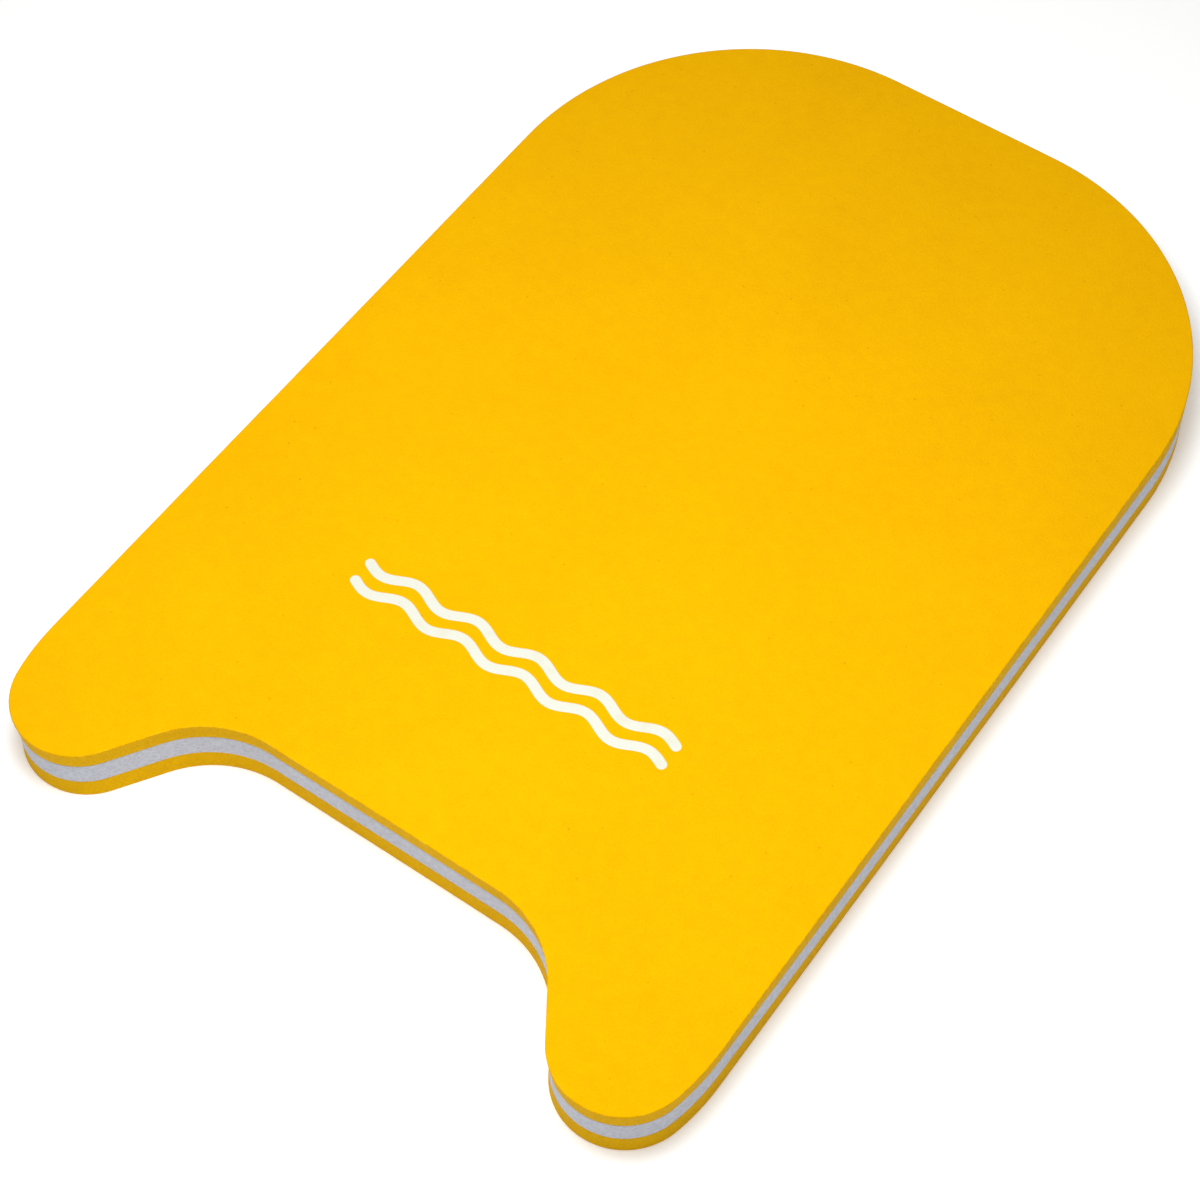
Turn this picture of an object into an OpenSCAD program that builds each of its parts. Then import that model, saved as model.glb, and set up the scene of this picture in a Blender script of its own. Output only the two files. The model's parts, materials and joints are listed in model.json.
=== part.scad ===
// Kickboard float: three foam sheets bonded face to face and cut to one outline,
// with a printed wave mark on the upper face. Millimetres, +Z up, +Y towards the nose.
// The origin is the centre of the outline's box, on the face that the board lies on.

/* [Outline] */
// Length from the horn tips to the nose
board_l = 420; // [330:5:520]
// Greatest width, across the horns
board_w = 280; // [230:5:350]
// Radius of the two nose corners
nose_r = 104; // [60:1:112]
// Angle by which each side leans in towards the nose, in degrees
side_lean = 0.3; // [0:0.1:1]

/* [Tail] */
// Radius of each horn's tip
horn_r = 25; // [15:1:32]
// Radius of the softer curve from the horn's tip to the side
ease_r = 90; // [50:5:120]
// Part of the turn that the softer curve takes, in degrees
ease_turn = 13; // [5:1:20]
// Radius of the notch's two inner corners
notch_r = 41; // [20:1:50]
// Length of the straight flank between a notch corner and its horn
flank_l = 20; // [5:1:30]
// Angle between a flank and the board's length, in degrees
flank_lean = 34; // [20:1:50]

/* [Layers] */
// Thickness of each outer sheet
skin_t = 8; // [4:0.5:12]
// Thickness of the middle sheet
core_t = 10; // [6:0.5:20]
// Thickness of each adhesive film
glue_t = 0.15; // [0.1:0.05:0.4]

/* [Print] */
// Number of wave lines
wave_count = 2; // [1:1:3]
// Whole waves in a line
wave_turns = 5; // [1:1:6]
// Length of one wave
wave_l = 26; // [20:1:32]
// Height of a crest above the line's middle
wave_rise = 2; // [0:0.25:3]
// Width of a wave line's stroke
wave_stroke = 4; // [2:0.5:6]
// Distance between the middles of two wave lines
wave_pitch = 8.5; // [6:0.5:14]
// Distance from the horn tips to the middle of the mark
mark_y = 119; // [80:1:200]
// Thickness of the ink
ink_t = 0.1; // [0.05:0.05:0.3]

/* [Hidden] */

arc_step = 3;      // the most degrees between two points of an arc
wave_steps = 24;   // points along each wave
end_steps = 8;     // steps round each end of a wave line

lower_glue_z = skin_t;
core_z = lower_glue_z + glue_t;
upper_glue_z = core_z + core_t;
top_skin_z = upper_glue_z + glue_t;
board_t = top_skin_z + skin_t;
line_l = wave_turns * wave_l;

// Angles of the outline's direction, from +X: down the flank and at the end of the horn's tip.
flank_turn = 90 - flank_lean;
tip_turn = 90 - ease_turn;

// Centres of the arcs on the +X side, from the tail to the nose. Each arc is tangent to the
// next piece of the outline, so the horn fixes the notch and the side fixes the nose corner.
// The side's line stands side_reach from the origin, square to its own direction.
ease_x = board_w / 2 - ease_r;
horn_c = [ease_x + (ease_r - horn_r) * sin(tip_turn), horn_r - board_l / 2];
ease_c = horn_c - (ease_r - horn_r) * [sin(tip_turn), -cos(tip_turn)];
flank_end = horn_c - horn_r * [sin(flank_turn), cos(flank_turn)];
flank_start = flank_end - flank_l * [cos(flank_turn), -sin(flank_turn)];
notch_c = flank_start - notch_r * [sin(flank_turn), cos(flank_turn)];
side_reach = ease_c * [cos(side_lean), sin(side_lean)] + ease_r;
nose_y = board_l / 2 - nose_r;
nose_c = [(side_reach - nose_r - sin(side_lean) * nose_y) / cos(side_lean), nose_y];

// Points of an arc about a centre, from one polar angle to another.
function arc(centre, r, from, to) =
    let (steps = ceil(abs(to - from) / arc_step))
    [for (i = [0:steps]) let (a = from + (to - from) * i / steps) centre + r * [cos(a), sin(a)]];

// Half of the outline, from the middle of the notch round the +X side to the middle of the nose.
half_outline = concat(
    arc(notch_c, notch_r, 90, 90 - flank_turn),
    arc(horn_c, horn_r, -90 - flank_turn, tip_turn - 90),
    arc(ease_c, ease_r, tip_turn - 90, side_lean),
    arc(nose_c, nose_r, side_lean, 90)
);
mirrored_half = [for (i = [len(half_outline) - 1:-1:0]) [-half_outline[i].x, half_outline[i].y]];

// One sheet of the board, cut to the outline.
module sheet(z, t)
    translate([0, 0, z]) linear_extrude(t) polygon(concat(half_outline, mirrored_half));

module bottom_skin() color("#f5b400") sheet(0, skin_t);

module lower_glue_film() color("#e6dcc0") sheet(lower_glue_z, glue_t);

module core() color("#c9cad6") sheet(core_z, core_t);

module upper_glue_film() color("#e6dcc0") sheet(upper_glue_z, glue_t);

module top_skin() color("#fbc400") sheet(top_skin_z, skin_t);

// Middle of a wave line at x, and the angle at which it runs there.
function wave_y(x) = wave_rise * sin(360 * x / wave_l);
function wave_angle(x) = atan(wave_rise * 2 * PI / wave_l * cos(360 * x / wave_l));

// One edge of the stroke, in the line's direction: side is +1 for the upper edge and -1 for the lower.
function wave_edge(side) =
    let (steps = wave_turns * wave_steps)
    [for (i = [0:steps])
        let (x = line_l * (i / steps - 1 / 2), a = wave_angle(x))
        [x, wave_y(x)] + side * wave_stroke / 2 * [-sin(a), cos(a)]];

// The round end of the stroke at x, clockwise from the polar angle that it starts at.
function wave_end(x, start) =
    [for (i = [1:end_steps - 1])
        let (a = start - 180 * i / end_steps)
        [x, wave_y(x)] + wave_stroke / 2 * [cos(a), sin(a)]];

module wave_line() {
    lower = wave_edge(-1);
    polygon(concat(
        wave_edge(1),
        wave_end(line_l / 2, 90 + wave_angle(line_l / 2)),
        [for (i = [len(lower) - 1:-1:0]) lower[i]],
        wave_end(-line_l / 2, wave_angle(-line_l / 2) - 90)
    ));
}

module printed_waves()
    color("white")
    translate([0, mark_y - board_l / 2, board_t])
    for (i = [0:wave_count - 1])
        translate([0, (i - (wave_count - 1) / 2) * wave_pitch, 0])
            linear_extrude(ink_t) wave_line();

bottom_skin();
lower_glue_film();
core();
upper_glue_film();
top_skin();
printed_waves();
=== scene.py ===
import json
import math

import bpy
import numpy as np
from mathutils import Matrix, Vector

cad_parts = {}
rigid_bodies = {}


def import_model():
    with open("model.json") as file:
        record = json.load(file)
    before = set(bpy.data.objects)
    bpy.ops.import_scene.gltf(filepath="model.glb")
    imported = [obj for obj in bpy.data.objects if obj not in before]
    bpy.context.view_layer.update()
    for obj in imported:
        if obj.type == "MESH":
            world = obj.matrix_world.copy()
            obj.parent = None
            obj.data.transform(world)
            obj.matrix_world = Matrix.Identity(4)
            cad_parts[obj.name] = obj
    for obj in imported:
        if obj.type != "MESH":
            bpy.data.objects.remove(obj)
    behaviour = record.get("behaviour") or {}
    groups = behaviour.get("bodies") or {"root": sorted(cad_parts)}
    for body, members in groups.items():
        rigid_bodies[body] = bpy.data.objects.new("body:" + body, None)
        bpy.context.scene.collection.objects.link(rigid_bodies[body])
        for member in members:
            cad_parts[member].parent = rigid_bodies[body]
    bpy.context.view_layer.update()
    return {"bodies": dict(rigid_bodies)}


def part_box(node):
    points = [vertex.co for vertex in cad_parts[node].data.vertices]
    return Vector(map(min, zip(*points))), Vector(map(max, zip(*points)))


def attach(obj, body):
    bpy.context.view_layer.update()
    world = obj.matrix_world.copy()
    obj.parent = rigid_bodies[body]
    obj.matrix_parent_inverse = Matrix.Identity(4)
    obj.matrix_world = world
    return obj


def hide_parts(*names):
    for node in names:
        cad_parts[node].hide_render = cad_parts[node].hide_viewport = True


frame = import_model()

mm = 0.001
body = list(frame["bodies"])[0]
boardLow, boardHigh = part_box("bottom_skin")[0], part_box("top_skin")[1]
boardWidth = boardHigh.x - boardLow.x
boardLength = boardHigh.y - boardLow.y
boardThickness = boardHigh.z - boardLow.z


# Stage: camera, floor and light

cameraSetup = {
    "place": (0.3476, -0.4891, 0.8652),
    "aim": (-0.0006, -0.0399, 0.0),
    "roll": -2.62,      # degrees
    "lens": 87.0,       # mm
    "sensor": 36.0,     # mm
}

studioShape = {
    "floorRadius": 1.6,     # the flat part of the floor
    "bendRadius": 2.0,      # how the floor turns up all round
    "bendAngle": 60,        # degrees that it turns through
    "bendSteps": 24,
    "turnSteps": 128,
    "paper": (0.90, 0.90, 0.89, 1.0),
    "roughness": 0.9,
    "glow": 0.30,           # the paper is lit from behind too, so shadows on it are pale
    "sky": (1.0, 1.0, 1.0, 1.0),
    "skyStrength": 0.30,
}

lights = {
    "keyLight": {"place": (0.02, -0.14, 0.64), "aim": (0.02, -0.14, 0.0), "width": 0.36, "power": 4.3},
    "fillLight": {"place": (0.25, -1.30, 0.42), "aim": (0.0, -0.10, 0.0), "width": 0.80, "power": 0.8},
}


def makeCamera(setup):
    data = bpy.data.cameras.new("camera")
    data.lens = setup["lens"]
    data.sensor_width = setup["sensor"]
    data.clip_start = 0.01
    camera = bpy.data.objects.new("camera", data)
    bpy.context.scene.collection.objects.link(camera)
    camera.location = setup["place"]
    sight = Vector(setup["aim"]) - Vector(setup["place"])
    turn = sight.to_track_quat("-Z", "Y").to_matrix() @ Matrix.Rotation(math.radians(setup["roll"]), 3, "Z")
    camera.rotation_euler = turn.to_euler()
    bpy.context.scene.camera = camera


def gridFaces(grid):
    return np.stack([grid[:-1, :-1], grid[:-1, 1:], grid[1:, 1:], grid[1:, :-1]], -1).reshape(-1, 4)


def makeStudio(shape):
    # A flat disc whose rim turns up along an arc: r sin a further out, and r(1 - cos a) high.
    bend = np.radians(np.linspace(0, shape["bendAngle"], shape["bendSteps"] + 1))[:, None]
    around = np.linspace(0, 2 * math.pi, shape["turnSteps"], endpoint=False)
    radius = shape["floorRadius"] + shape["bendRadius"] * np.sin(bend)
    height = shape["bendRadius"] * (1 - np.cos(bend)) + 0 * around
    rings = np.stack([radius * np.cos(around), radius * np.sin(around), height], -1)
    numbers = np.arange(rings[..., 0].size).reshape(rings.shape[:2])
    numbers = np.concatenate([numbers, numbers[:, :1]], 1)
    faces = [numbers[0, :-1].tolist()] + gridFaces(numbers).tolist()
    mesh = bpy.data.meshes.new("floor")
    mesh.from_pydata(rings.reshape(-1, 3).tolist(), [], faces)
    mesh.polygons.foreach_set("use_smooth", np.arange(len(faces)) > 0)
    floor = bpy.data.objects.new("floor", mesh)
    bpy.context.scene.collection.objects.link(floor)
    material = bpy.data.materials.new("floorPaper")
    material.use_nodes = True
    shader = material.node_tree.nodes["Principled BSDF"]
    shader.inputs["Base Color"].default_value = shape["paper"]
    shader.inputs["Roughness"].default_value = shape["roughness"]
    shader.inputs["Emission Color"].default_value = shape["paper"]
    shader.inputs["Emission Strength"].default_value = shape["glow"]
    mesh.materials.append(material)
    world = bpy.data.worlds.new("sky")
    world.use_nodes = True
    sky = world.node_tree.nodes["Background"]
    sky.inputs["Color"].default_value = shape["sky"]
    sky.inputs["Strength"].default_value = shape["skyStrength"]
    bpy.context.scene.world = world


def makeLight(name, setup):
    # A round soft box that faces its aim, and that the camera doesn't see.
    data = bpy.data.lights.new(name, "AREA")
    data.shape = "DISK"
    data.size = setup["width"]
    data.energy = setup["power"]
    light = bpy.data.objects.new(name, data)
    light.location = setup["place"]
    sight = Vector(setup["aim"]) - Vector(setup["place"])
    light.rotation_euler = sight.to_track_quat("-Z", "Y").to_euler()
    light.visible_camera = False
    bpy.context.scene.collection.objects.link(light)


makeCamera(cameraSetup)
makeStudio(studioShape)
for name, setup in lights.items():
    makeLight(name, setup)
bpy.context.scene.view_settings.view_transform = "Standard"
print("stage: camera, floor and lights are set")


# The outline that all sheets are cut to

outlineShape = {
    "hornRadius": 25 * mm,      # tip of each horn
    "easeRadius": 90 * mm,      # softer curve from a horn's tip to the side
    "easeTurn": 13,             # degrees that the softer curve turns through
    "notchRadius": 41 * mm,     # inner corners of the notch
    "flankLength": 20 * mm,     # straight flank between a notch corner and its horn
    "flankLean": 34,            # degrees between a flank and the board's length
    "sideLean": 0.3,            # degrees that a side leans in towards the nose
    "noseRadius": 104 * mm,
    "hornCorner": 60,           # headings, in degrees, at which the mesh's corners sit
    "noseCorner": 135,
}


def stepAlong(length, heading, turn):
    # The move along a bend: its length times sin(turn/2)/(turn/2), in the heading halfway round.
    # A bend that doesn't turn gives a straight line.
    reach = length * np.sinc(turn / 2 / np.pi)
    middle = heading + turn / 2
    return np.stack([reach * np.cos(middle), reach * np.sin(middle)], -1)


def makeOutline(shape, width, length):
    # Half of the outline as a chain of straights and arcs, from the middle of the notch round the
    # +X side to the middle of the nose. The three straights are solved from the width and length.
    flankTurn = math.radians(90 - shape["flankLean"])
    tipTurn = math.radians(90 - shape["easeTurn"])
    lean = math.radians(shape["sideLean"])
    turns = np.array([0, -flankTurn, 0, flankTurn + tipTurn, math.pi / 2 + lean - tipTurn,
                      0, math.pi / 2 - lean, 0])
    radii = np.array([0, shape["notchRadius"], 0, shape["hornRadius"], shape["easeRadius"],
                      0, shape["noseRadius"], 0])
    lengths = radii * np.abs(turns)
    lengths[2] = shape["flankLength"]
    headings = np.concatenate([[0], np.cumsum(turns)[:-1]])
    moves = stepAlong(lengths, headings, turns)
    easeCentre = moves[:4, 0].sum() - shape["easeRadius"] * math.sin(tipTurn)
    lengths[0] = width / 2 - shape["easeRadius"] - easeCentre
    tailRise = moves[:3, 1].sum() + shape["hornRadius"] * math.cos(flankTurn)
    notchLevel = shape["hornRadius"] - length / 2 - tailRise
    lengths[5] = (length / 2 - notchLevel - moves[:, 1].sum()) / math.cos(lean)
    moves = stepAlong(lengths, headings, turns)
    lengths[7] = moves[:, 0].sum()
    starts = np.concatenate([[[0, 0]], np.cumsum(moves, 0)[:-1]]) + [0, notchLevel]
    bends = np.divide(turns, lengths, out=np.zeros_like(turns), where=lengths > 0)
    return {"starts": starts, "headings": headings, "bends": bends,
            "marks": np.concatenate([[0], np.cumsum(lengths)])}


def outlineAt(outline, distance):
    # Points and outward normals at distances along the outline from the middle of the notch.
    # A negative distance, or one past the nose, gives the mirror image on the -X side.
    half = outline["marks"][-1]
    wrapped = (distance + half) % (2 * half) - half
    side = np.where(wrapped < 0, -1.0, 1.0)
    along = np.abs(wrapped)
    piece = np.clip(np.searchsorted(outline["marks"], along, "right") - 1, 0, len(outline["bends"]) - 1)
    past = along - outline["marks"][piece]
    turn = outline["bends"][piece] * past
    heading = outline["headings"][piece]
    points = outline["starts"][piece] + stepAlong(past, heading, turn)
    normals = np.stack([np.sin(heading + turn), -np.cos(heading + turn)], -1)
    mirror = np.stack([side, np.ones_like(side)], -1)
    return points * mirror, normals * mirror


def pathDistances(outline, shape, across, along):
    # Distances of the path's points, in four runs: notch, +X side, nose and -X side.
    # The runs meet on the outer side of each horn and on the nose's corners.
    marks, headings = outline["marks"], outline["headings"]
    horn = marks[3] + (math.radians(shape["hornCorner"]) - headings[3]) * shape["hornRadius"]
    nose = marks[6] + (math.radians(shape["noseCorner"]) - headings[6]) * shape["noseRadius"]
    half = marks[-1]
    ends = [-horn, horn, nose, 2 * half - nose, 2 * half - horn]
    steps = [across, along, across, along]
    return np.concatenate([np.linspace(a, b, n, endpoint=False) for a, b, n in zip(ends, ends[1:], steps)])


def spanGrid(ring, across, along):
    # A patch inside a closed ring of points, as a function of u across and v along: the blend of the
    # two opposite runs in u, plus the blend in v, minus the blend of the four corners.
    loop = np.concatenate([ring, ring[:1]])
    bottom = loop[:across + 1]
    right = loop[across:across + along + 1]
    top = loop[across + along:2 * across + along + 1][::-1]
    left = loop[2 * across + along:][::-1]
    u = np.linspace(0, 1, across + 1)[None, :, None]
    v = np.linspace(0, 1, along + 1)[:, None, None]
    corners = ((1 - u) * (1 - v) * bottom[0] + u * (1 - v) * bottom[-1]
               + (1 - u) * v * top[0] + u * v * top[-1])
    return (1 - v) * bottom + v * top + (1 - u) * left[:, None] + u * right[:, None] - corners


outline = makeOutline(outlineShape, boardWidth, boardLength)
print("outline: half of it is %.1f mm long" % (outline["marks"][-1] / mm))


# Meshes

def slowWave(across, along, waves):
    # 0 to 1, level over a span of hundreds of millimetres: the middle of two crossed sine products.
    first = np.sin(across / waves[0] + 1.3) * np.sin(along / waves[1] + 0.4)
    second = np.sin((across + along) / waves[2] + 0.2) * np.sin((along - across) / waves[3] + 2.1)
    return 0.5 + 0.25 * (first + second)


def smoothStep(value, start, end):
    share = np.clip((value - start) / (end - start), 0, 1)
    return share * share * (3 - 2 * share)


def makePiece(name, vertices, faces, material, fields):
    # Faces is a list of arrays, each of faces with the same number of corners.
    mesh = bpy.data.meshes.new(name)
    mesh.from_pydata(vertices.tolist(), [], [face for group in faces for face in group.tolist()])
    mesh.polygons.foreach_set("use_smooth", np.ones(len(mesh.polygons), bool))
    for field, values in fields.items():
        layer = mesh.attributes.new(field, "FLOAT", "POINT")
        layer.data.foreach_set("value", values.astype(np.float32))
    mesh.materials.append(material)
    mesh.validate()
    mesh.update()
    piece = bpy.data.objects.new(name, mesh)
    bpy.context.scene.collection.objects.link(piece)
    return piece


# The foam sheets, and the films of adhesive between them

sheetShape = {
    "across": 130,                  # mesh steps across the tail, and across the nose
    "along": 190,                   # mesh steps along each side
    "faceRound": 0.5 * mm,          # rounding where a free face meets the cut edge
    "gluedRound": 0.2 * mm,         # the same where a sheet meets a film
    "roundSteps": 6,
    "wallStep": 1.0 * mm,
    "rims": (1.5 * mm, 0.3 * mm),   # flat rims inside a rounding, from the face outwards
    "tailHollow": 0.75 * mm,        # how far the cut edge is dished at half height, round the tail
    "sideHollow": 0.10 * mm,        # and along the sides and nose
    "hollowFade": 90 * mm,          # the length over which that changes
    "waver": 0.10 * mm,             # how far the cut wanders
    "faceSink": 0.12 * mm,          # depth of the slow waves in a free face
    "faceWaves": (71 * mm, 93 * mm, 58 * mm, 83 * mm),
}

filmShape = {
    "across": 78,
    "along": 114,
    "roundSteps": 3,
    "rims": (1.5 * mm, 0.3 * mm),
    "roundShare": 0.4,              # rounding of a film's edge, as a share of its thickness
    "recess": 0.10 * mm,            # how far a film's edge stands back from the cut
}


def edgeProfile(low, high, roundLow, roundHigh, shape):
    # The edge's section from the lower face's inner rim to the upper face's, as its inset from the
    # outline, its height, and how far it is turned from a face (0) to the cut edge (1).
    # Each corner is a quarter circle: inset r(1 - sin a), height r(1 - cos a) from the face.
    turn = np.linspace(0, math.pi / 2, shape["roundSteps"] + 1)
    rims = np.array(shape["rims"])
    steps = max(1, round((high - low - roundLow - roundHigh) / shape.get("wallStep", 1)))
    wall = np.linspace(low + roundLow, high - roundHigh, steps + 1)[1:-1]
    inset = np.concatenate([roundLow + rims, roundLow * (1 - np.sin(turn)), 0 * wall,
                            roundHigh * (1 - np.sin(turn[::-1])), roundHigh + rims[::-1]])
    height = np.concatenate([low + 0 * rims, low + roundLow * (1 - np.cos(turn)), wall,
                             high - roundHigh * (1 - np.cos(turn[::-1])), high + 0 * rims])
    turned = np.concatenate([0 * rims, np.sin(turn), 1 + 0 * wall, np.sin(turn[::-1]), 0 * rims])
    return inset, height, turned


def cutInset(distance, height):
    # How far the cut stands inside the outline: a parabola over the board's height, deepest halfway up,
    # plus a wander of three sines that repeat after one lap.
    marks = outline["marks"]
    half = marks[-1]
    fromNotch = np.abs((distance + half) % (2 * half) - half)
    fade = smoothStep(fromNotch, marks[4], marks[4] + sheetShape["hollowFade"])
    hollow = sheetShape["tailHollow"] * (1 - fade) + sheetShape["sideHollow"] * fade
    level = (height - boardLow.z) / boardThickness * 2 - 1
    lap = math.pi * distance / half
    lean = height / boardThickness
    wander = (0.5 + 0.24 * np.sin(7 * lap + 1.0) + 0.16 * np.sin(17 * lap + 2 * lean)
              + 0.10 * np.sin(41 * lap - 3 * lean + 2.0))
    return hollow * (1 - level ** 2) + sheetShape["waver"] * wander


def faceSink(points):
    sink = slowWave(points[..., 0], points[..., 1], sheetShape["faceWaves"])
    return sheetShape["faceSink"] * sink


def capCorners(ring, inside, across, along):
    # Vertex numbers on a cap's grid: the border is the ring's, and the rest are the cap's own.
    loop = np.append(ring, ring[0])
    grid = np.empty((along + 1, across + 1), int)
    grid[0] = loop[:across + 1]
    grid[:, -1] = loop[across:across + along + 1]
    grid[-1] = loop[across + along:2 * across + along + 1][::-1]
    grid[:, 0] = loop[2 * across + along:][::-1]
    grid[1:-1, 1:-1] = inside + np.arange((along - 1) * (across - 1)).reshape(along - 1, across - 1)
    return grid


def makeSheet(name, node, rounds, sinks, recess, shape, material):
    # The edge's section is carried round the outline, and a patch closes each face.
    # Sinks are the shares of the slow waves that the lower and upper faces take.
    low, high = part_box(node)[0].z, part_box(node)[1].z
    across, along = shape["across"], shape["along"]
    distance = pathDistances(outline, outlineShape, across, along)
    points, normals = outlineAt(outline, distance)
    inset, height, turned = edgeProfile(low, high, *rounds, shape)
    depth = inset[:, None] + cutInset(distance, height[:, None]) + recess
    rings = points - depth[..., None] * normals
    levels = np.broadcast_to(height[:, None], depth.shape)
    count, total = len(distance), depth.size
    lowerCap = spanGrid(rings[0], across, along)[1:-1, 1:-1].reshape(-1, 2)
    upperCap = spanGrid(rings[-1], across, along)[1:-1, 1:-1].reshape(-1, 2)
    flat = np.concatenate([rings.reshape(-1, 2), lowerCap, upperCap])
    level = np.concatenate([levels.ravel(), np.full(len(lowerCap), low), np.full(len(upperCap), high)])
    share = (level - low) / (high - low)
    level = level + faceSink(flat) * (sinks[0] * (1 - share) - sinks[1] * share)
    numbers = np.arange(total).reshape(depth.shape)
    wall = gridFaces(np.concatenate([numbers, numbers[:, :1]], 1))
    lowerGrid = capCorners(numbers[0], total, across, along)
    upperGrid = capCorners(numbers[-1], total + len(lowerCap), across, along)
    faces = [wall, gridFaces(lowerGrid)[:, ::-1], gridFaces(upperGrid)]
    cut = np.zeros(len(flat))
    cut[:total] = np.repeat(turned, count)
    rim = 4 * cut * (1 - cut)
    return makePiece(name, np.column_stack([flat, level]), faces, material, {"cutEdge": cut, "rim": rim})


# The printed waves

inkShape = {
    "lines": 2,
    "turns": 5,                # whole waves in a line
    "stroke": 4 * mm,
    "rise": 2 * mm,            # height of a crest above the line's middle
    "lineSteps": 300,
    "endSteps": 8,             # round each end of a line
    "sectionSteps": 24,        # round the stroke's section
    "fullness": 0.18,          # 1 gives an ellipse as the section, and less gives a flatter top
    "bite": 0.03 * mm,         # how far the ink sinks into the face
    "waver": 0.03,             # share by which the stroke's width varies
    "waverLength": 3.7 * mm,
}


def makeWaves(name, node, shape, material):
    # A flat section is carried along each line, y = rise sin(2 pi turns x / length). Past each end it
    # goes on straight for half a stroke, and e runs from 0 to 1 there. The half width is
    # stroke/2 sqrt(1 - ee), which rounds the end, and with c across it the height is
    # (1 - ee - cc) to the power of fullness.
    low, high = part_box(node)
    half = shape["stroke"] / 2
    reach = (high.x - low.x) / 2 - half
    middles = np.linspace(low.y + half + shape["rise"], high.y - half - shape["rise"], shape["lines"])
    end = np.linspace(0, math.pi / 2, shape["endSteps"] + 1)
    straight = np.linspace(-reach, reach, shape["lineSteps"] + 1)[1:-1]
    x = np.concatenate([0 * end - reach, straight, 0 * end + reach])
    past = np.concatenate([-np.sin(end[::-1]), 0 * straight, np.sin(end)])
    pulse = math.pi * shape["turns"] / reach
    slope = np.arctan(shape["rise"] * pulse * np.cos(pulse * x))
    forward = np.stack([np.cos(slope), np.sin(slope)], -1)
    sideways = np.stack([-np.sin(slope), np.cos(slope)], -1)
    line = np.stack([x, shape["rise"] * np.sin(pulse * x)], -1) + half * past[:, None] * forward
    taper = np.sqrt(1 - past ** 2)[:, None]
    around = np.linspace(0, 2 * math.pi, shape["sectionSteps"], endpoint=False)
    lift = np.where(np.sin(around) > 0, high.z - low.z, -shape["bite"])
    lift = lift * (taper * np.abs(np.sin(around))) ** shape["fullness"]
    vertices, faces, count = [], [], 0
    for middle in middles:
        width = 1 - shape["waver"] * (0.5 + 0.5 * np.sin(x / shape["waverLength"] + middle / mm))
        across = half * taper * width[:, None] * np.cos(around)
        flat = line[:, None] + across[..., None] * sideways[:, None] + [(low.x + high.x) / 2, middle]
        points = np.concatenate([flat, (low.z - faceSink(flat) + lift)[..., None]], -1)
        tube, tips = points[1:-1].reshape(-1, 3), points[[0, -1], 0]
        rows = count + np.arange(len(tube)).reshape(-1, len(around))
        rows = np.concatenate([rows, rows[:, :1]], 1)
        tip = np.full(len(around), count + len(tube))
        faces += [gridFaces(rows), np.stack([rows[0, 1:], rows[0, :-1], tip], -1),
                  np.stack([rows[-1, :-1], rows[-1, 1:], tip + 1], -1)]
        vertices += [tube, tips]
        count += len(tube) + 2
    return makePiece(name, np.concatenate(vertices), faces, material, {})


# Materials: all patterns are on Object coordinates, in metres

def newMaterial(name, look):
    material = bpy.data.materials.new(name)
    material.use_nodes = True
    shader = material.node_tree.nodes["Principled BSDF"]
    shader.inputs["Specular IOR Level"].default_value = look["specular"]
    shader.inputs["Specular Tint"].default_value = look["tint"]
    return material, material.node_tree, shader


def addNode(tree, kind, inputs, **settings):
    # Makes a node, sets what it is, and gives each input a value or a link.
    node = tree.nodes.new("ShaderNode" + kind)
    for setting, value in settings.items():
        setattr(node, setting, value)
    for name, value in inputs.items():
        if isinstance(value, bpy.types.NodeSocket):
            tree.links.new(value, node.inputs[name])
        else:
            node.inputs[name].default_value = value
    return node


def spots(tree, place, size, detail=2.0):
    # Soft noise from about 0.3 to 0.7, with spots of this size.
    return addNode(tree, "TexNoise", {"Vector": place, "Scale": 1 / size, "Detail": detail}).outputs["Fac"]


def cells(tree, place, size):
    # Bubbles of about this size. Distance runs from the middle of each, and each has its own colour.
    return addNode(tree, "TexVoronoi", {"Vector": place, "Scale": 1 / size}).outputs


def cellShade(tree, cell):
    # A random value from 0 to 1, the same all over a cell.
    return addNode(tree, "SeparateColor", {0: cell["Color"]}).outputs[0]


def ramp(tree, value, low, high, toLow=0.0, toHigh=1.0):
    inputs = {"Value": value, "From Min": low, "From Max": high, "To Min": toLow, "To Max": toHigh}
    return addNode(tree, "MapRange", inputs).outputs["Result"]


def dots(tree, place, spacing, rim, share):
    # Round dots in a share of the cells. The rim is soft between two radii, as shares of the spacing.
    cell = cells(tree, place, spacing)
    chosen = ramp(tree, cellShade(tree, cell), 0.99 - share, 1.01 - share)
    return product(tree, ramp(tree, cell["Distance"], *rim, 1.0, 0.0), chosen)


def mixed(tree, share, first, second):
    return addNode(tree, "Mix", {0: share, 6: first, 7: second}, data_type="RGBA").outputs[2]


def total(tree, *values):
    # The sum of several values, each with its weight.
    result = 0.0
    for value, weight in values:
        terms = {0: value, 1: weight, 2: result}
        result = addNode(tree, "Math", terms, operation="MULTIPLY_ADD").outputs[0]
    return result


def product(tree, first, second):
    return addNode(tree, "Math", {0: first, 1: second}, operation="MULTIPLY").outputs[0]


def raised(tree, shader, height):
    # Height is in metres.
    bump = addNode(tree, "Bump", {"Height": height, "Distance": 1.0, "Strength": 1.0})
    tree.links.new(bump.outputs["Normal"], shader.inputs["Normal"])


def field(tree, name):
    return addNode(tree, "Attribute", {}, attribute_name=name).outputs["Fac"]


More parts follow.
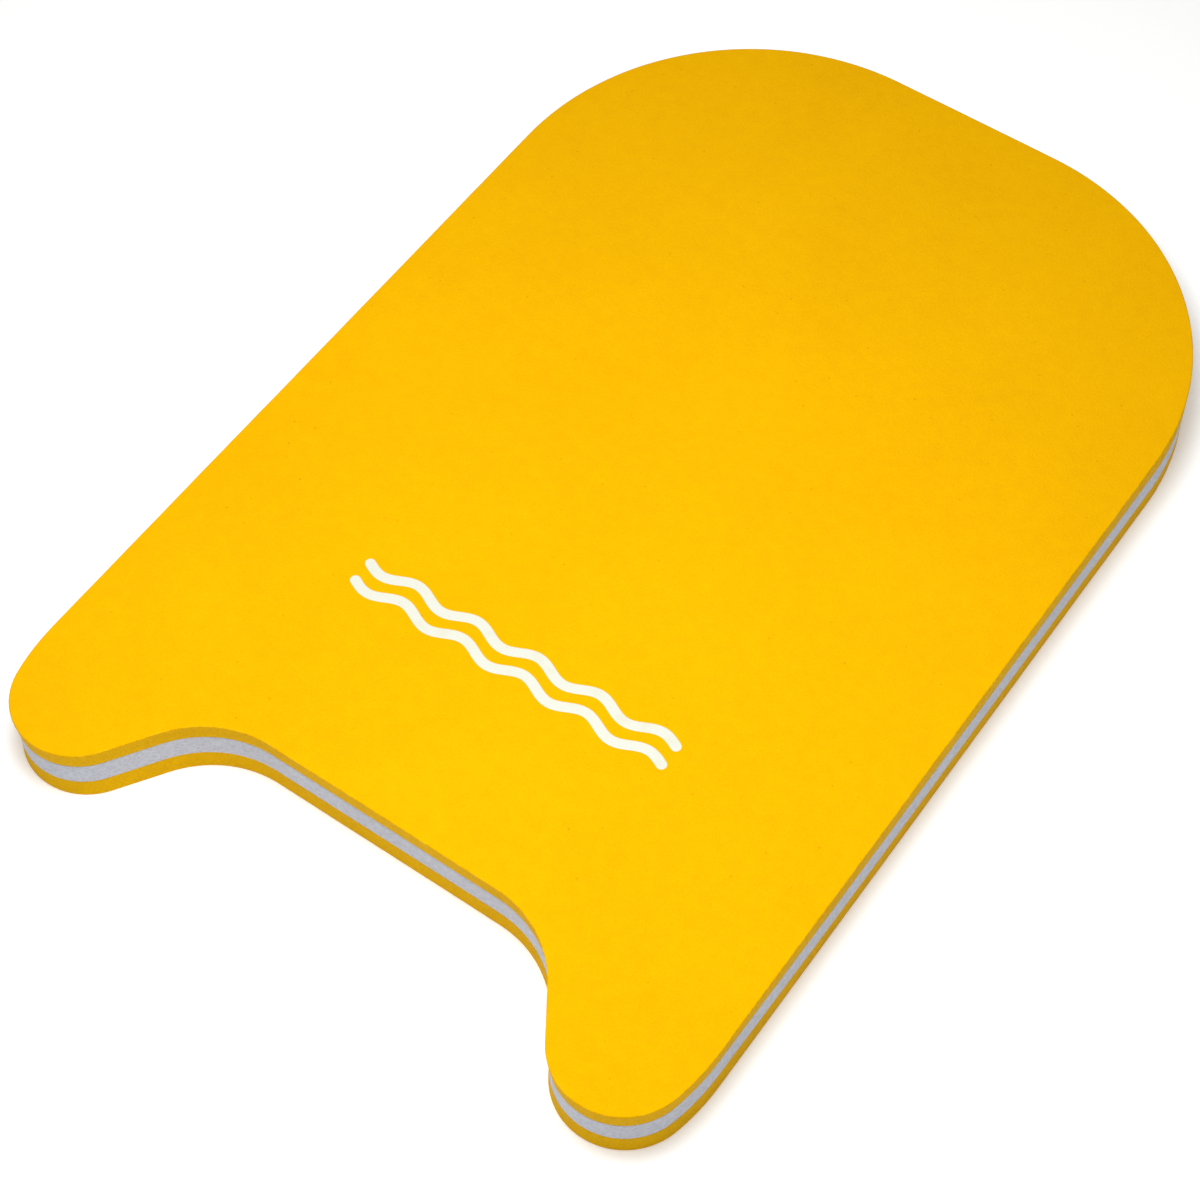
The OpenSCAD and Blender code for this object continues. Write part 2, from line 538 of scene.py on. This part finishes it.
yellowFoam = {
    "light": (0.850, 0.444, 0.001, 1.0),
    "deep": (0.800, 0.402, 0.001, 1.0),
    "cutLight": (0.750, 0.416, 0.001, 1.0),
    "cutDeep": (0.675, 0.367, 0.001, 1.0),
    # painted shade colour, towards which the pits and the cut edge's open cells are darkened
    "pit": (0.46, 0.22, 0.001, 1.0),
    "worn": (0.870, 0.500, 0.010, 1.0),
    "roughness": (0.68, 0.84),
    "specular": 0.06,
    "tint": (1.0, 0.72, 0.0, 1.0),
    "cloudSize": 45 * mm,
    "mottleSize": 5 * mm,
    "grainSize": 0.8 * mm,
    "toneShares": (0.28, 0.30, 0.42),   # of cloud, mottle and grain in the tone
    "grainHeight": 0.22 * mm,
    "pitSpacing": 4.5 * mm,
    "pitRim": (0.03, 0.10),
    "pitShare": 0.29,
    # strength of the painted shade in the pits
    "pitPaintedShade": 0.5,
    "pitDepth": 0.10 * mm,
    "cellSize": 0.6 * mm,               # cells laid open on the cut edge
    # strength of the painted shade in the open cells
    "cellPaintedShade": 0.25,
    "cellDepth": 0.12 * mm,
    "wear": 0.6,                        # on the rims of the cut edge
}


def paintYellowFoam(look):
    # A fine pebbled skin with soft mottling and scattered pits, open cells on the cut edge and rubbed rims.
    # The pits and open cells are darkened with painted shade.
    material, tree, shader = newMaterial("yellowFoam", look)
    place = addNode(tree, "TexCoord", {}).outputs["Object"]
    cloud = spots(tree, place, look["cloudSize"])
    mottle = spots(tree, place, look["mottleSize"], 3.0)
    grain = spots(tree, place, look["grainSize"])
    tone = ramp(tree, total(tree, *zip((cloud, mottle, grain), look["toneShares"])), 0.38, 0.62)
    cut = field(tree, "cutEdge")
    face = mixed(tree, tone, look["deep"], look["light"])
    colour = mixed(tree, cut, face, mixed(tree, tone, look["cutDeep"], look["cutLight"]))
    pit = dots(tree, place, look["pitSpacing"], look["pitRim"], look["pitShare"])
    # painted shade: each pit's colour is darkened towards the pit colour
    colour = mixed(tree, product(tree, pit, look["pitPaintedShade"]), colour, look["pit"])
    openCell = cells(tree, place, look["cellSize"])["Distance"]
    hole = product(tree, ramp(tree, openCell, 0.15, 0.6, 1.0, 0.0), cut)
    # painted shade: the open cells on the cut edge are darkened towards the pit colour
    colour = mixed(tree, product(tree, hole, look["cellPaintedShade"]), colour, look["pit"])
    rubbed = product(tree, field(tree, "rim"), ramp(tree, mottle, 0.45, 0.62))
    colour = mixed(tree, product(tree, rubbed, look["wear"]), colour, look["worn"])
    tree.links.new(colour, shader.inputs["Base Color"])
    tree.links.new(ramp(tree, grain, 0.3, 0.7, *look["roughness"]), shader.inputs["Roughness"])
    height = total(tree, (grain, look["grainHeight"]), (pit, -look["pitDepth"]), (hole, -look["cellDepth"]))
    raised(tree, shader, height)
    return material


greyFoam = {
    "light": (0.543, 0.562, 0.626, 1.0),
    "deep": (0.446, 0.460, 0.526, 1.0),
    # painted shade colour down the middle of each bubble
    "hollow": (0.313, 0.324, 0.396, 1.0),
    "roughness": (0.6, 0.8),
    "specular": 0.3,
    "tint": (1.0, 1.0, 1.0, 1.0),
    "cellSize": 1.3 * mm,
    "cloudSize": 30 * mm,
    "grainSize": 0.4 * mm,
    "toneShares": (0.5, 0.25, 0.25),    # of each cell's own shade, cloud and grain in the tone
    # strength of the painted shade in the bubbles
    "cellPaintedShade": 0.35,
    "cellDepth": 0.25 * mm,
    "grainHeight": 0.05 * mm,
}


def paintGreyFoam(look):
    # Cut bubbles: each has its own tone, and is darkened down its middle by painted shade, so it is lighter
    # along its walls.
    material, tree, shader = newMaterial("greyFoam", look)
    place = addNode(tree, "TexCoord", {}).outputs["Object"]
    cell = cells(tree, place, look["cellSize"])
    cloud = ramp(tree, spots(tree, place, look["cloudSize"]), 0.35, 0.65)
    grain = spots(tree, place, look["grainSize"])
    parts = (cellShade(tree, cell), cloud, ramp(tree, grain, 0.3, 0.7))
    tone = total(tree, *zip(parts, look["toneShares"]))
    colour = mixed(tree, tone, look["deep"], look["light"])
    # painted shade: the middle of each bubble is darkened towards the hollow colour
    hollow = ramp(tree, cell["Distance"], 0.1, 0.7, 1.0, 0.0)
    colour = mixed(tree, product(tree, hollow, look["cellPaintedShade"]), colour, look["hollow"])
    tree.links.new(colour, shader.inputs["Base Color"])
    tree.links.new(ramp(tree, grain, 0.3, 0.7, *look["roughness"]), shader.inputs["Roughness"])
    raised(tree, shader, total(tree, (hollow, -look["cellDepth"]), (grain, look["grainHeight"])))
    return material


dryGlue = {
    "clear": (0.62, 0.50, 0.26, 1.0),
    "milky": (0.80, 0.72, 0.52, 1.0),
    "roughness": (0.3, 0.6),
    "specular": 0.5,
    "tint": (1.0, 1.0, 1.0, 1.0),
    "patchSize": 4 * mm,
    "grainSize": 0.5 * mm,
    "grainHeight": 0.03 * mm,
}


def paintDryGlue(look):
    # Amber film with milky patches where it foamed as it set.
    material, tree, shader = newMaterial("dryGlue", look)
    place = addNode(tree, "TexCoord", {}).outputs["Object"]
    patch = spots(tree, place, look["patchSize"], 3.0)
    grain = spots(tree, place, look["grainSize"])
    colour = mixed(tree, ramp(tree, patch, 0.4, 0.6), look["clear"], look["milky"])
    tree.links.new(colour, shader.inputs["Base Color"])
    tree.links.new(ramp(tree, patch, 0.35, 0.65, *look["roughness"]), shader.inputs["Roughness"])
    raised(tree, shader, product(tree, grain, look["grainHeight"]))
    return material


whiteInk = {
    "white": (0.692, 0.696, 0.600, 1.0),
    "thin": (0.645, 0.630, 0.470, 1.0),
    "bare": (0.760, 0.440, 0.030, 1.0),
    "roughness": (0.42, 0.58),
    "specular": 0.4,
    "tint": (1.0, 1.0, 1.0, 1.0),
    "patchSize": 6 * mm,
    "thinning": 0.5,                    # of the ink in a patch
    "grainSize": 0.8 * mm,
    "grainHeight": 0.05 * mm,
    "holeSpacing": 1.6 * mm,
    "holeRim": (0.06, 0.14),
    "holeShare": 0.19,
    "holeStain": 0.8,
    "holeDepth": 0.06 * mm,
}


def paintWhiteInk(look):
    # Screen ink: it follows the foam's grain, is thin in patches, and misses a few pin holes.
    material, tree, shader = newMaterial("whiteInk", look)
    place = addNode(tree, "TexCoord", {}).outputs["Object"]
    patch = spots(tree, place, look["patchSize"], 3.0)
    grain = spots(tree, place, look["grainSize"])
    thin = ramp(tree, patch, 0.52, 0.70, 0.0, look["thinning"])
    colour = mixed(tree, thin, look["white"], look["thin"])
    hole = dots(tree, place, look["holeSpacing"], look["holeRim"], look["holeShare"])
    colour = mixed(tree, product(tree, hole, look["holeStain"]), colour, look["bare"])
    tree.links.new(colour, shader.inputs["Base Color"])
    tree.links.new(ramp(tree, grain, 0.3, 0.7, *look["roughness"]), shader.inputs["Roughness"])
    raised(tree, shader, total(tree, (grain, look["grainHeight"]), (hole, -look["holeDepth"])))
    return material


yellow, grey = paintYellowFoam(yellowFoam), paintGreyFoam(greyFoam)
glue, white = paintDryGlue(dryGlue), paintWhiteInk(whiteInk)
print("materials: yellow foam, grey foam, dry glue and white ink")


# The pieces, from the bottom up

def addPiece(piece, node):
    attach(piece, body)
    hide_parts(node)
    triangles = sum(len(face.vertices) - 2 for face in piece.data.polygons)
    print("piece: %s has %d triangles" % (piece.name, triangles))


# Each sheet has its roundings, and its shares of the face waves, at its lower and upper face.
faceRound, gluedRound = sheetShape["faceRound"], sheetShape["gluedRound"]
sheets = [
    ("bottom_foam_sheet", "bottom_skin", (faceRound, gluedRound), (1, 0), yellow, "skin_foam"),
    ("core_foam_sheet", "core", (gluedRound, gluedRound), (0, 0), grey, "core_foam"),
    ("top_foam_sheet", "top_skin", (gluedRound, faceRound), (0, 1), yellow, "skin_foam"),
]
for name, node, rounds, sinks, material, slot in sheets:
    sheet = makeSheet(name, node, rounds, sinks, 0, sheetShape, material)
    addPiece(sheet, node)

for name, node in (("lower_glue_line", "lower_glue_film"), ("upper_glue_line", "upper_glue_film")):
    filmRound = filmShape["roundShare"] * (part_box(node)[1].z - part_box(node)[0].z)
    film = makeSheet(name, node, (filmRound, filmRound), (0, 0), filmShape["recess"], filmShape, glue)
    addPiece(film, node)

addPiece(makeWaves("printed_wave_mark", "printed_waves", inkShape, white), "printed_waves")
